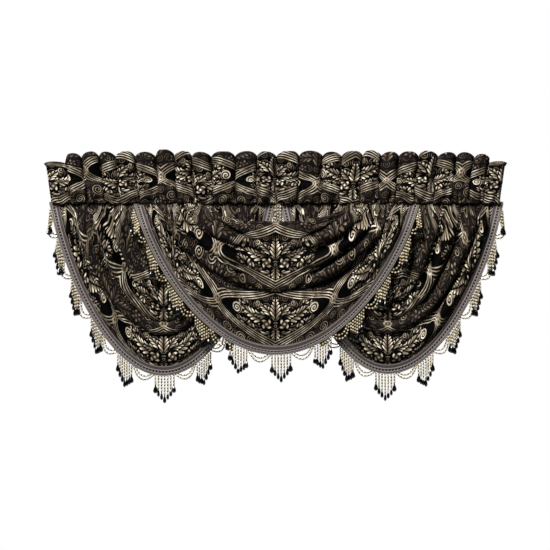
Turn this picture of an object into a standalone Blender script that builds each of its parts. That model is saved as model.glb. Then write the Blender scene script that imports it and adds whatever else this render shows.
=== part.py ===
"""Waterfall valance: a gathered heading with a rod pocket, two swags side by side below it, a third
swag in front of both, and a woven braid and a bead fringe along each curved hem.

Metres, +Z up. The front faces -Y and the valance is wide along X. The origin is the middle of the
heading's top edge. The tables are in millimetres, seen from the front: left is towards -X.
"""
import math

import bmesh
import bpy
from mathutils import Vector

MM = 0.001
GAP = 0.3            # between pieces that are sewn to each other
CLOTH = 2.0          # thickness of a swag's cloth

# Heading
SEAM_DROP = 139.6    # from the top edge down to the seam that holds the swags
END_TAPER = 0.035    # how much narrower the heading is at that seam
GAP_DIP = 15.0       # how far the top edge dips between two puffs
ARC_STEPS = (0.0, 0.17, 0.5, 0.83)   # places across one gather, from gap to gap

# Each row is one gather of the heading: its width, how full it is, and how far its top stands
# above or below the top edge.
GATHERS = (
    # width full  rise
    (57, 0.35, -18), (44, 0.90, -4), (47, 1.00, -1), (44, 0.90, 0), (53, 1.05, -1), (55, 1.00, -2),
    (50, 1.10, 4), (47, 0.95, 1), (53, 1.00, -2), (64, 1.10, -1), (59, 1.00, 0), (52, 1.05, -1),
    (61, 1.10, 0), (63, 1.00, 1), (51, 0.95, -1), (57, 1.10, 0), (50, 1.00, 2), (47, 0.90, 0),
    (53, 1.05, -1), (52, 1.00, 1), (50, 0.95, -2), (48, 1.00, -3), (41, 0.90, -6), (47, 0.35, -17),
)

# The heading's section: how far a point lies below the top edge, and its place front to back (in
# front is minus) in a gap and on a puff.
HEADING_OUTSIDE = (
    # down     gap   puff
    (138.7, -19.0, -20.0),   # seam, front
    (129.0, -20.0, -27.0),
    (108.0, -21.0, -33.0),   # rod pocket, front
    (86.0, -14.0, -25.0),
    (74.0, -5.0, -11.0),     # stitching, front
    (56.0, 2.0, -15.0),
    (22.0, 4.0, -16.0),      # ruffle, front
    (0.0, 6.0, -9.0),        # top edge
    (22.0, 8.5, -11.0),      # ruffle, back
    (74.0, 3.0, -1.0),       # stitching, back
    (94.0, 13.0, 16.0),
    (128.0, 13.0, 15.0),     # rod pocket, back
    (138.7, 4.0, 4.0),       # seam, back
)
ROD_POCKET = (
    (131.0, -13.0, -15.0),
    (108.0, -18.0, -29.0),   # front
    (89.0, -12.0, -21.0),
    (80.0, -2.0, -4.0),      # under the stitching
    (92.0, 9.0, 12.0),
    (128.0, 10.0, 12.0),     # back
)

# Swags. Each row is one line along the cloth, from its top to its hem: how far its two ends at the
# seam lie from the swag's middle, how far it hangs down at the middle, and how far it stands out
# from the cloth's mean depth on the flanks and at the middle. Ridges and valleys take turns.
CENTRE_LINES = (
    # left  right  drop  flank  middle
    (197, 199, 72, -6, -13),     # edge turned back behind the cowl
    (206, 208, 59, 8, 0),        # cowl
    (228, 226, 104, -13, 1),
    (245, 247, 121, 14, 5),      # fold
    (262, 259, 141, -13, 4),
    (278, 281, 172, 16, 7),      # fold
    (292, 296, 204, -14, 3),
    (306, 309, 224, 15, 7),      # fold
    (321, 322, 240, -12, -9),    # crease under the fold
    (339, 343, 300, 8, 6),       # lower panel
    (355, 362, 379, 1, -1),      # inner edge of the braid
    (375, 382, 399, 0, -4),      # hem
)
LEFT_LINES = (
    (70, 74, 0, 0, 0),           # gathered straight into the seam
    (103, 106, 175, -9, 0),
    (129, 132, 258, 13, 4),      # fold
    (154, 152, 284, -12, -6),
    (181, 177, 303, 14, 6),      # fold
    (207, 206, 319, -12, -9),
    (232, 229, 338, 15, 10),     # fold
    (256, 250, 355, -11, -8),    # crease under the fold
    (270, 263, 400, 6, 7),       # lower panel
    (282, 274, 436, 1, 2),       # inner edge of the braid
    (302, 294, 456, 0, -2),      # hem
)
RIGHT_LINES = (
    (72, 70, 0, 0, 0),
    (104, 108, 170, -9, 0),
    (126, 134, 249, 12, 4),
    (148, 159, 277, -12, -5),
    (172, 186, 299, 14, 6),
    (198, 211, 315, -12, -9),
    (220, 238, 333, 14, 10),
    (240, 261, 350, -11, -8),
    (252, 275, 396, 6, 7),
    (262, 286, 431, 1, 2),
    (282, 306, 451, 0, -2),
)
# Each row is one swag: its middle, where its top edge meets the seam front to back, how far its
# cloth swells forward below that, how far to the right its middle tassel hangs, and the length
# without bead strands at each end of its hem.
SWAGS = {
    #      middle  seat  swell  tassel  bare_left  bare_right
    "left": (-299, 4, 23, 2, 12, 12),
    "right": (300, 4, 23, -6, 66, 12),
    "centre": (0, 13, 52, 15, 12, 12),
}
LINES = {"left": LEFT_LINES, "right": RIGHT_LINES, "centre": CENTRE_LINES}
SWELL_LENGTH = 72.0   # hanging length over which the cloth swells to its full depth
ROUND_SHARE = 0.85    # a hanging line is this share of a parabola, the rest turns up at its ends
TURN_POWER = 8
ACROSS = 20           # steps across a swag
BETWEEN_LINES = 2     # steps from one line of a table to the next

# Trim
BRAID_GAP = 0.8
BRAID_THICK = 1.6
BRAID_STEPS = 3       # steps across the braid: two on the cloth and one past its hem
STRIP = 6.0           # width of the strip that carries the bead strands
STRIP_THICK = 1.8
TASSEL_PITCH = 116.0
STRANDS = 7
STRAND_PITCH = 8.0
FAN_PITCH = 3.6       # least distance between the ends of two strands, along X
FAN_DEPTH = 3.0       # neighbouring strands hang this far in front of and behind the strip
SHORT_STRAND = 50.0   # outer strand of a tassel, with its drop
LONG_STRAND = 74.0    # middle strand, with its drop
DROP = 21.0           # length of the glass drop
DROP_BELLY = 0.66     # how far down the drop its widest place is
ROOT_RADIUS = 0.2     # a strand is thinnest where it is sewn into the strip
STRAND_RADIUS = 1.5
DROP_RADIUS = 3.2
STUB = 2.8            # how far a strand stands clear of the strip before it hangs
SWAY = 25.0           # depth of a bead festoon between two tassels
FESTOON_STEPS = 4
FESTOON_SLOPE = 0.72  # festoons are made where the hem's outward direction points down this much

# name: colour (linear), roughness, metallic
FINISHES = {
    "damask": ((0.030, 0.027, 0.024), 0.62, 0.0),
    "braid": ((0.155, 0.133, 0.122), 0.78, 0.0),
    "bead": ((0.34, 0.27, 0.17), 0.30, 0.0),
}


def smooth(share):
    """Ease from 0 to 1, flat at both ends."""
    share = min(max(share, 0.0), 1.0)
    return share * share * (3.0 - 2.0 * share)


def finish(name):
    """Return the material of that name, made once."""
    found = bpy.data.materials.get(name)
    if found:
        return found
    colour, roughness, metallic = FINISHES[name]
    material = bpy.data.materials.new(name)
    material.use_nodes = True
    shader = material.node_tree.nodes["Principled BSDF"]
    shader.inputs["Base Color"].default_value = (*colour, 1.0)
    shader.inputs["Roughness"].default_value = roughness
    shader.inputs["Metallic"].default_value = metallic
    return material


def put(name, bm, collection, material=None):
    """Make an object of the mesh and place it in the collection."""
    mesh = bpy.data.meshes.new(name)
    bm.to_mesh(mesh)
    bm.free()
    mesh.shade_smooth()
    piece = bpy.data.objects.new(name, mesh)
    collection.objects.link(piece)
    if material:
        mesh.materials.append(finish(material))
    return piece


def thicken(piece, thickness):
    """Turn an open surface into cloth, half of its thickness on either side."""
    solid = piece.modifiers.new("Thickness", "SOLIDIFY")
    solid.thickness = thickness * MM
    solid.offset = 0.0


def sheet(name, columns, rows, place, thickness, collection, material):
    """Make a cloth from a grid: place(share across, share down) gives a point in millimetres."""
    bm = bmesh.new()
    bmesh.ops.create_grid(bm, x_segments=columns, y_segments=rows, size=1.0)
    for vert in bm.verts:
        vert.co = place((vert.co.x + 1.0) / 2.0, (1.0 - vert.co.y) / 2.0) * MM
    piece = put(name, bm, collection, material)
    thicken(piece, thickness)
    return piece


def heading_stations():
    """List (x, fullness, rise) along the heading, from its left end to its right end."""
    left = -sum(width for width, _, _ in GATHERS) / 2.0
    stations = []
    previous_rise = GATHERS[0][2]
    for width, full, rise in GATHERS:
        for step in ARC_STEPS:
            puff = full * math.sin(math.pi * step) ** 0.6 if step else 0.0
            top = rise if step else min(rise, previous_rise)
            stations.append((left + width * step, puff, top))
        left += width
        previous_rise = rise
    stations.append((left, 0.0, previous_rise))
    return stations


def heading_ring(bm, section, x, puff, rise):
    """Add one ring of the heading's section at x and return its vertices."""
    ring = []
    for down, gap_y, puff_y in section:
        y = gap_y + (puff_y - gap_y) * puff
        lift = (rise - GAP_DIP * (1.0 - min(puff, 1.0))) * max(0.0, 1.0 - down / 40.0)
        taper = 1.0 - END_TAPER * down / SEAM_DROP
        ring.append(bm.verts.new(Vector((x * taper, y, lift - down)) * MM))
    return ring


def loft(bm, rings, inward):
    """Join rings of equal length with quads."""
    for ring, following in zip(rings, rings[1:]):
        for i, vert in enumerate(ring):
            j = (i + 1) % len(ring)
            corners = (vert, ring[j], following[j], following[i])
            bm.faces.new(corners[::-1] if inward else corners)


def make_heading(collection):
    """Gathered heading: one ruffled strip whose lower part is open from end to end for a rod."""
    bm = bmesh.new()
    outside = []
    inside = []
    for x, puff, rise in heading_stations():
        outside.append(heading_ring(bm, HEADING_OUTSIDE, x, puff, rise))
        inside.append(heading_ring(bm, ROD_POCKET, x, puff, rise))
    loft(bm, outside, inward=False)
    loft(bm, inside, inward=True)
    for end in (0, -1):
        rim = [edge for edge in bm.edges if edge.is_boundary
               and set(edge.verts) <= set(outside[end] + inside[end])]
        bmesh.ops.triangle_fill(bm, edges=rim, use_beauty=True)
    bmesh.ops.recalc_face_normals(bm, faces=bm.faces)
    return put("heading", bm, collection, "damask")


def line_at(lines, place):
    """Read the table of lines between its rows, on a smooth curve through them."""
    last = len(lines) - 1
    i = min(int(place), last - 1)
    t = place - i
    before, start, end, after = (lines[min(max(k, 0), last)] for k in (i - 1, i, i + 1, i + 2))
    return [
        0.5 * (2.0 * b + (c - a) * t + (2.0 * a - 5.0 * b + 4.0 * c - d) * t ** 2
               + (3.0 * b - a - 3.0 * c + d) * t ** 3)
        for a, b, c, d in zip(before, start, end, after)
    ]


def depth_at(side, hang):
    """Place front to back of a swag's mean cloth, this far below the seam."""
    _, seat, swell = SWAGS[side][:3]
    return -(seat + swell * smooth(hang / SWELL_LENGTH))


def cloth_point(side, across, place):
    """Point of a swag's cloth: across runs from -1 to 1, place counts the rows of its table."""
    left, right, drop, flank, middle = line_at(LINES[side], place)
    u = abs(across)
    reach = left if across < 0.0 else right
    hang = drop * (1.0 - ROUND_SHARE * u ** 2 - (1.0 - ROUND_SHARE) * u ** TURN_POWER)
    fold = middle + (flank - middle) * smooth((u - 0.1) / 0.5)
    y = depth_at(side, hang) - fold * smooth(hang / SWELL_LENGTH)
    return Vector((SWAGS[side][0] + across * reach, y, -SEAM_DROP - hang))


def cloth_frame(side, across, place):
    """Return the point, the direction along the line, the outward one down the cloth and the normal."""
    small = 0.002
    last = len(LINES[side]) - 1
    point = cloth_point(side, across, place)
    low, high = max(across - small, -1.0), min(across + small, 1.0)
    along = (cloth_point(side, high, place) - cloth_point(side, low, place)).normalized()
    up, down = max(place - small, 0.0), min(place + small, last)
    out = cloth_point(side, across, down) - cloth_point(side, across, up)
    out = (out - along * out.dot(along)).normalized()
    normal = along.cross(out)
    if normal.y > 0.0:
        normal.negate()
    return point, along, out, normal


def across_at(share):
    """Turn a share of the steps across a swag into a place from -1 to 1, closer near the ends."""
    return math.sin(math.pi / 2.0 * (2.0 * share - 1.0))


def make_swag(side, collection):
    """One swag: a sheet hung in folds from the seam, with its braid's place left plain."""
    last = len(LINES[side]) - 1

    def place(share, down):
        return cloth_point(side, across_at(share), last * down)

    return sheet(f"swag_{side}", ACROSS, last * BETWEEN_LINES, place, CLOTH, collection, "damask")


def make_braid(side, collection):
    """Woven braid: it lies on the cloth's front along the hem and covers the fringe's strip."""
    last = len(LINES[side]) - 1
    lift = CLOTH / 2.0 + BRAID_GAP + BRAID_THICK / 2.0

    def place(share, down):
        step = round(down * BRAID_STEPS)
        on_cloth = min(step, BRAID_STEPS - 1)
        row = last - 1.0 + on_cloth / (BRAID_STEPS - 1)
        point, _, out, normal = cloth_frame(side, across_at(share), row)
        past = GAP + STRIP if step == BRAID_STEPS else 0.0
        return point + out * past + normal * lift

    return sheet(f"braid_{side}", ACROSS, BRAID_STEPS, place, BRAID_THICK, collection, "braid")


class Hem:
    """The strip's middle line as its facets have it, measured from the hem's lowest place."""

    def __init__(self, side):
        self.side = side
        last = len(LINES[side]) - 1
        self.frames = []
        for i in range(ACROSS + 1):
            point, _, out, _ = cloth_frame(side, across_at(i / ACROSS), last)
            self.frames.append((point + out * (GAP + STRIP / 2.0), out))
        self.reach = [0.0]
        for (start, _), (end, _) in zip(self.frames, self.frames[1:]):
            self.reach.append(self.reach[-1] + (end - start).length)
        middle = self.reach[ACROSS // 2] + SWAGS[side][3]
        self.reach = [reach - middle for reach in self.reach]

    def at(self, arc):
        """Return the point and the outward direction at that length along the strip."""
        for i in range(ACROSS):
            if arc <= self.reach[i + 1]:
                break
        t = (arc - self.reach[i]) / (self.reach[i + 1] - self.reach[i])
        point = self.frames[i][0].lerp(self.frames[i + 1][0], t)
        out = self.frames[i][1].lerp(self.frames[i + 1][1], t).normalized()
        return point, out

    def tassels(self):
        """List each tassel: its middle along the hem and the places of its strands from there."""
        bare_left, bare_right = SWAGS[self.side][4:]
        first = self.reach[0] + bare_left
        final = self.reach[-1] - bare_right
        count = math.ceil(max(-first, final) / TASSEL_PITCH)
        found = []
        for k in range(-count, count + 1):
            middle = k * TASSEL_PITCH
            offsets = [STRAND_PITCH * (i - (STRANDS - 1) / 2.0) for i in range(STRANDS)]
            offsets = [offset for offset in offsets if first <= middle + offset <= final]
            if offsets:
                found.append((middle, offsets))
        return found


def strand(hem, tassel, offset):
    """Points and radii of one bead strand: out of the strip, straight down, and a drop at its end."""
    half = STRAND_PITCH * (STRANDS - 1) / 2.0
    uphill = math.copysign(1.0, tassel) if tassel else 0.0
    root, out = hem.at(tassel + offset)
    clear = root + out * (STRIP / 2.0 + STUB)
    lowest, lowest_out = hem.at(tassel - uphill * half)
    lowest += lowest_out * (STRIP / 2.0 + STUB)
    rank = (uphill * offset + half) / STRAND_PITCH
    spread = max(abs(clear.x - lowest.x), FAN_PITCH * rank)
    end_x = lowest.x + uphill * spread if tassel else clear.x
    length = LONG_STRAND + (SHORT_STRAND - LONG_STRAND) * abs(offset) / half
    foot_z = root.z - STRIP / 2.0 - length
    lean = depth_at(hem.side, -SEAM_DROP - foot_z) - depth_at(hem.side, -SEAM_DROP - root.z)
    fore = FAN_DEPTH if round(offset / STRAND_PITCH) % 2 else -FAN_DEPTH
    foot = Vector((end_x, root.y + lean + fore, foot_z))
    neck = clear.lerp(foot, 1.0 - DROP / (clear.z - foot.z))
    belly = neck.lerp(foot, DROP_BELLY)
    radii = (ROOT_RADIUS, STRAND_RADIUS, STRAND_RADIUS, DROP_RADIUS, 0.0)
    return (root, clear, neck, belly, foot), radii


def festoon(hem, start, end):
    """Points and radii of a bead string that hangs in a loop from one tassel to the next."""
    first, _ = hem.at(start)
    final, _ = hem.at(end)
    _, out = hem.at((start + end) / 2.0)
    points = []
    for i in range(FESTOON_STEPS + 1):
        t = i / FESTOON_STEPS
        sag = 4.0 * t * (1.0 - t) * SWAY
        points.append(first.lerp(final, t) + out * sag)
    radii = [ROOT_RADIUS] + [STRAND_RADIUS] * (FESTOON_STEPS - 1) + [ROOT_RADIUS]
    return points, radii


def strand_curves(side):
    """List all bead strings of one hem as points and radii."""
    hem = Hem(side)
    tassels = hem.tassels()
    curves = [strand(hem, middle, offset) for middle, offsets in tassels for offset in offsets]
    edge = STRAND_PITCH * STRANDS / 2.0
    for (start, _), (end, _) in zip(tassels, tassels[1:]):
        _, out = hem.at((start + end) / 2.0)
        if -out.z > FESTOON_SLOPE:
            curves.append(festoon(hem, start + edge, end - edge))
    return curves


def thread_profile(cutters):
    """Three-sided profile that the bead strings are drawn with."""
    curve = bpy.data.curves.new("thread_profile", "CURVE")
    spline = curve.splines.new("POLY")
    spline.points.add(2)
    for i, point in enumerate(spline.points):
        turn = 2.0 * math.pi * i / 3.0
        point.co = (math.cos(turn) * MM, math.sin(turn) * MM, 0.0, 1.0)
    spline.use_cyclic_u = True
    profile = bpy.data.objects.new("thread_profile", curve)
    hide(profile)
    cutters.objects.link(profile)
    return profile


def hide(piece):
    piece.hide_render = True
    piece.display_type = "WIRE"


def make_strands(side, profile, cutters):
    """Draw the bead strings of one hem with the profile and return them as one mesh object."""
    curve = bpy.data.curves.new(f"strings_{side}", "CURVE")
    curve.dimensions = "3D"
    curve.bevel_mode = "OBJECT"
    curve.bevel_object = profile
    curve.use_fill_caps = True
    for points, radii in strand_curves(side):
        spline = curve.splines.new("POLY")
        spline.points.add(len(points) - 1)
        for target, point, radius in zip(spline.points, points, radii):
            target.co = (*(point * MM), 1.0)
            target.radius = radius
    drawn = bpy.data.objects.new(f"strings_{side}", curve)
    cutters.objects.link(drawn)
    graph = bpy.context.evaluated_depsgraph_get()
    graph.update()
    bm = bmesh.new()
    bm.from_mesh(bpy.data.meshes.new_from_object(drawn.evaluated_get(graph)))
    bpy.data.objects.remove(drawn)
    bmesh.ops.remove_doubles(bm, verts=bm.verts, dist=1e-6)
    bmesh.ops.recalc_face_normals(bm, faces=bm.faces)
    strands = put(f"strands_{side}", bm, cutters)
    hide(strands)
    return strands


def make_fringe(side, collection, profile, cutters):
    """Bead fringe: a narrow strip along the hem's edge with tassels of bead strands and festoons."""
    last = len(LINES[side]) - 1

    def place(share, down):
        point, _, out, _ = cloth_frame(side, across_at(share), last)
        return point + out * (GAP + STRIP * down)

    fringe = sheet(f"fringe_{side}", ACROSS, 1, place, STRIP_THICK, collection, "bead")
    union = fringe.modifiers.new("Strands", "BOOLEAN")
    union.operation = "UNION"
    union.object = make_strands(side, profile, cutters)
    return fringe


def main():
    for old in list(bpy.data.objects):
        bpy.data.objects.remove(old)
    valance = bpy.data.collections.new("waterfall_valance")
    cutters = bpy.data.collections.new("cutters")
    for collection in (valance, cutters):
        bpy.context.scene.collection.children.link(collection)
    make_heading(valance)
    profile = thread_profile(cutters)
    for side in SWAGS:
        make_swag(side, valance)
        make_braid(side, valance)
        make_fringe(side, valance, profile, cutters)


main()
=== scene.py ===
"""Waterfall valance in a baroque damask: the finished cloth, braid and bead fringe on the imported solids.

Places and sizes are in millimetres and turned to metres where a mesh is made. The front faces -Y, the
valance is wide along X, and the origin is the middle of the heading's top edge.
"""
import functools
import math
import random

import bmesh
import bpy
from mathutils import Matrix, Vector


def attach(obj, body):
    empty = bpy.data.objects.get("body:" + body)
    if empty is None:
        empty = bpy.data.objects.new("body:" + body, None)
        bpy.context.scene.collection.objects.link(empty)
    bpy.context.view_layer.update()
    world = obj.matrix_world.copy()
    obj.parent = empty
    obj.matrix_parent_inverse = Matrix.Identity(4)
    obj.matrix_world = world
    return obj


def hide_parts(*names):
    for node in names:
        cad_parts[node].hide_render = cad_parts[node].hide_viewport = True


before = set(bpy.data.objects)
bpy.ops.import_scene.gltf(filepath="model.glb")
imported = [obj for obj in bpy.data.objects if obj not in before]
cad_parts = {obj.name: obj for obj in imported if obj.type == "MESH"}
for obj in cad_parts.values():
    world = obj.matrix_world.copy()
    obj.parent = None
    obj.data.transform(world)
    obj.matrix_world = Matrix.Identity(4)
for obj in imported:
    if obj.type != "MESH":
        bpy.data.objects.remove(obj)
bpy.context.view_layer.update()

MM = 0.001

# The cut of the solids, as the CAD source has it.
SEAM_DROP = 139.6    # from the top edge down to the seam that holds the swags
END_TAPER = 0.035    # the heading narrows by this share on its way down to the seam
GAP_DIP = 15.0       # its top edge dips between two gathers
GATHERS = (
    # width full  rise
    (57, 0.35, -18), (44, 0.90, -4), (47, 1.00, -1), (44, 0.90, 0), (53, 1.05, -1), (55, 1.00, -2),
    (50, 1.10, 4), (47, 0.95, 1), (53, 1.00, -2), (64, 1.10, -1), (59, 1.00, 0), (52, 1.05, -1),
    (61, 1.10, 0), (63, 1.00, 1), (51, 0.95, -1), (57, 1.10, 0), (50, 1.00, 2), (47, 0.90, 0),
    (53, 1.05, -1), (52, 1.00, 1), (50, 0.95, -2), (48, 1.00, -3), (41, 0.90, -6), (47, 0.35, -17),
)
# The heading's section, from the seam up the front, over the top edge and down the back: distance
# below the top edge, and place front to back in a gap and on a puff.
HEADING_SECTION = (
    # down     gap   puff
    (138.9, -8.0, -9.0),     # seam allowance, front
    (138.7, -19.0, -20.0),
    (129.0, -20.0, -27.0),
    (108.0, -21.0, -33.0),   # rod pocket, front
    (86.0, -14.0, -25.0),
    (74.0, -5.0, -11.0),     # stitching, front
    (56.0, 2.0, -15.0),
    (22.0, 4.0, -16.0),      # ruffle, front
    (0.0, 6.0, -9.0),        # top edge
    (22.0, 8.5, -11.0),      # ruffle, back
    (74.0, 3.0, -1.0),       # stitching, back
    (94.0, 13.0, 16.0),
    (128.0, 13.0, 15.0),     # rod pocket, back
    (138.7, 4.0, 4.0),
    (138.9, -6.0, -7.0),     # seam allowance, back
)
CENTRE_LINES = (
    # left  right  drop  flank  middle
    (197, 199, 72, -6, -13),     # edge turned back behind the cowl
    (206, 208, 59, 8, 0),        # cowl
    (228, 226, 104, -13, 1),
    (245, 247, 121, 14, 5),      # fold
    (262, 259, 141, -13, 4),
    (278, 281, 172, 16, 7),      # fold
    (292, 296, 204, -14, 3),
    (306, 309, 224, 15, 7),      # fold
    (321, 322, 240, -12, -9),    # crease under the fold
    (339, 343, 300, 8, 6),       # lower panel
    (355, 362, 379, 1, -1),      # inner edge of the braid
    (375, 382, 399, 0, -4),      # hem
)
LEFT_LINES = (
    (70, 74, 0, 0, 0),           # gathered straight into the seam
    (103, 106, 175, -9, 0),
    (129, 132, 258, 13, 4),      # fold
    (154, 152, 284, -12, -6),
    (181, 177, 303, 14, 6),      # fold
    (207, 206, 319, -12, -9),
    (232, 229, 338, 15, 10),     # fold
    (256, 250, 355, -11, -8),    # crease under the fold
    (270, 263, 400, 6, 7),       # lower panel
    (282, 274, 436, 1, 2),       # inner edge of the braid
    (302, 294, 456, 0, -2),      # hem
)
RIGHT_LINES = (
    (72, 70, 0, 0, 0),
    (104, 108, 170, -9, 0),
    (126, 134, 249, 12, 4),
    (148, 159, 277, -12, -5),
    (172, 186, 299, 14, 6),
    (198, 211, 315, -12, -9),
    (220, 238, 333, 14, 10),
    (240, 261, 350, -11, -8),
    (252, 275, 396, 6, 7),
    (262, 286, 431, 1, 2),
    (282, 306, 451, 0, -2),
)
LINES = {"left": LEFT_LINES, "right": RIGHT_LINES, "centre": CENTRE_LINES}
SWAGS = {
    #      middle  seat  swell  tassel  bare_left  bare_right
    "left": (-299, 4, 23, 2, 12, 12),
    "right": (300, 4, 23, -6, 66, 12),
    "centre": (0, 13, 52, 15, 12, 12),
}
SWELL_LENGTH = 72.0  # the cloth comes forward over so much of its hang
ROUND_SHARE = 0.85   # share of a line's curve that is an even bow
TURN_POWER = 8       # how sharply a line turns up at its ends

# Finished cloth
CLOTH = 1.2          # thickness of the damask
COLUMNS = 168        # steps across a swag
BETWEEN_LINES = 11   # steps from one line of a table to the next
MEDALLION_LINE = {"left": 7.85, "right": 7.9, "centre": 8.98}   # a black ogee has its middle on it
TALLEST = 20.0       # height of the tallest fold
TUCK = 5.0           # how far a gathered edge reaches up into the heading's seam
OVERLAP = 0.85       # a fold rolls over the one below by this share of its height
TIGHT = 2.6          # above 1, folds are rounder on top and tighter in the valleys
MINOR = 14.0         # small folds between the main ones, out on the flanks
SHIRRING = 5.0       # upright gathers where a swag leaves the seam
FORWARD = {"left": 8.0, "right": 8.0, "centre": 4.0}   # how far a swag comes forward at the seam
OWN_SHARE = 0.4      # out on the flanks the pattern follows the folds there by this share
AROUND = 8           # steps to either side over which those are evened out
GATHER_STEPS = 14    # steps across one gather of the heading
SECTION_STEPS = 4    # steps between two points of the heading's section
FRONT_ROWS = 7 * SECTION_STEPS      # steps from the seam up to the ruffle, all on the front
STITCHED_ROW = 5 * SECTION_STEPS
MIDDLE_PUFF = 12 * GATHER_STEPS + GATHER_STEPS // 2   # column down the middle of a puff
CRUMPLES = (2.8, 2.2, 1.8)          # heights of the pocket's crumples
PLEAT = (6.5, 0.09)  # height of the pocket's small pleats, and their width as a share of a gather
TUCK_FOLD = (3.2, 0.10)             # the same for the ruffle's
GAP_FOLD = (9.0, 0.085)             # how far the cloth sinks between two puffs, and how wide
ROD_CLEAR = -12.5    # the pocket's front stays in front of the rod
BULGE = 0.025        # a puff swells sideways over its gaps by this share of its width
TUCKED = 15.0        # cloth tucked out of sight in each gap
SKEW = 27.0          # the gathers pull the pattern up and down by so much
STITCH = (0.9, 4.6)  # sewing thread on the cloth between the ruffle and the pocket
STITCH_PITCH = 7.0
HEADING_PATTERN = (0.018, -0.092)   # where the pattern falls on it, in metres along and up

# Creases laid in one by one. Each starts at a place across the swag (-1 to 1) and on a line of its
# table, and runs to another; it is so wide and stands so far out, or in where that is minus.
CREASES = {
    "centre": (
        # from         to            wide  out
        (-0.97, 1.6, -0.30, 1.9, 7.0, -4.0),
        (-0.93, 2.6, -0.42, 2.9, 6.0, 3.5),
        (-0.96, 4.4, -0.25, 4.0, 6.0, -3.5),
        (-0.90, 5.5, -0.48, 5.9, 6.5, -4.5),
        (-0.97, 6.5, -0.55, 6.2, 6.0, 3.0),
        (-0.88, 7.6, -0.30, 7.2, 7.0, 4.0),
        (-0.80, 8.5, -0.35, 9.2, 12.0, -4.0),
        (-0.62, 9.3, -0.22, 8.5, 12.0, 3.5),
        (0.97, 1.5, 0.33, 1.8, 7.0, -3.5),
        (0.92, 2.5, 0.36, 2.9, 6.0, 3.5),
        (0.95, 3.6, 0.52, 3.2, 5.5, -3.5),
        (0.90, 5.4, 0.40, 5.9, 7.0, -4.0),
        (0.97, 6.6, 0.50, 6.3, 6.0, 3.5),
        (0.90, 7.4, 0.42, 7.9, 6.5, 3.5),
        (0.84, 8.6, 0.30, 9.4, 13.0, -4.5),
        (-0.16, 1.9, 0.19, 2.0, 9.0, -2.0),
        (-0.40, 6.2, 0.02, 8.0, 6.5, -10.0),
        (0.41, 6.2, -0.02, 8.0, 6.5, -10.0),
        (-0.34, 5.3, 0.02, 7.0, 6.0, -5.0),
        (0.33, 5.2, -0.02, 7.0, 6.0, -5.0),
    ),
    "left": (
        (-0.96, 0.6, -0.20, 1.4, 12.0, 5.0),
        (-0.55, 0.3, -0.10, 1.3, 14.0, -5.0),
        (-0.95, 1.6, -0.50, 1.9, 6.5, -4.0),
        (-0.92, 3.5, -0.40, 3.2, 6.0, 3.0),
        (-0.95, 4.5, -0.55, 4.8, 6.0, -3.5),
        (-0.90, 5.6, -0.30, 5.3, 6.0, 3.0),
        (-0.86, 6.5, -0.20, 6.9, 7.0, -4.0),
        (-0.80, 7.4, -0.40, 8.1, 11.0, 4.0),
        (-0.60, 8.3, -0.15, 7.5, 11.0, -3.0),
        (0.10, 7.2, 0.60, 7.9, 10.0, 3.5),
        (0.12, 0.4, 0.50, 1.5, 14.0, 5.0),
        (0.30, 2.7, 0.90, 2.4, 7.0, -3.5),
        (0.20, 4.7, 0.85, 4.4, 6.5, 3.0),
        (0.25, 6.6, 0.80, 6.3, 7.0, -3.5),
    ),
    "right": (
        (0.96, 0.7, 0.22, 1.4, 12.0, 5.0),
        (0.50, 0.3, 0.08, 1.2, 14.0, -5.0),
        (0.94, 1.5, 0.46, 1.9, 6.5, -4.0),
        (0.93, 3.4, 0.44, 3.1, 6.0, 3.0),
        (0.95, 4.6, 0.50, 4.9, 6.0, -3.5),
        (0.90, 5.5, 0.34, 5.2, 6.0, 3.5),
        (0.88, 6.4, 0.24, 6.8, 7.0, -4.0),
        (0.78, 7.5, 0.36, 8.2, 11.0, 4.0),
        (0.58, 8.4, 0.12, 7.6, 11.0, -3.0),
        (-0.12, 7.1, -0.58, 7.8, 10.0, 3.5),
        (-0.10, 0.5, -0.52, 1.5, 14.0, 5.0),
        (-0.28, 2.8, -0.90, 2.4, 7.0, -3.5),
        (-0.22, 4.6, -0.84, 4.4, 6.5, 3.0),
        (-0.24, 6.5, -0.80, 6.3, 7.0, -3.5),
    ),
}
LINE_PITCH = 30.0    # cloth between two lines of a table, for the width of a crease

# Braid
BRAID_WIDTH = 26.0
BRAID_ON_CLOTH = 0.76    # share of its width that lies on the cloth, the rest reaches past the hem
BRAID_PAST = 6.3         # so far
BRAID_LIFT = 1.8         # its underside above the middle of the cloth
DOT_PITCH = 9.0          # ladder of dark squares along the braid
TWIST_PITCH = 4.5        # turns of its cords, drawn coarser than real so that they show
TWIST_SLANT = 9.0        # turns by which they lean over the braid's whole width
BRAID_COLUMNS = 1060     # steps along it
BRAID_THICK = 0.8
# The braid's section: share of its width from the inner edge to the outer one, and height
BRAID_SECTION = (
    (0.00, 0.0), (0.03, 0.9), (0.065, 1.2), (0.10, 0.8), (0.13, 0.4), (0.22, 0.5), (0.32, 0.4),
    (0.34, 1.0), (0.37, 1.4), (0.40, 1.0), (0.43, 0.3), (0.50, 0.2), (0.60, 0.2), (0.68, 0.3),
    (0.71, 1.1), (0.75, 1.6), (0.79, 1.1), (0.83, 0.5), (0.88, 1.2), (0.94, 1.5), (1.00, 0.5),
)
CORDS = (0.065, 0.37, 0.75, 0.94)   # middles of its twisted cords
LADDER = (0.43, 0.69)               # sunk band with the dark squares
BRAID_BANDS = (
    # from this share of its width on, this colour
    (0.0, "#3a3433"), (0.035, "#7a7169"), (0.10, "#453e40"), (0.33, "#928a82"), (0.41, "#6e6663"),
    (0.71, "#928a82"), (0.80, "#453e3d"), (0.87, "#7b736d"),
)

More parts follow.
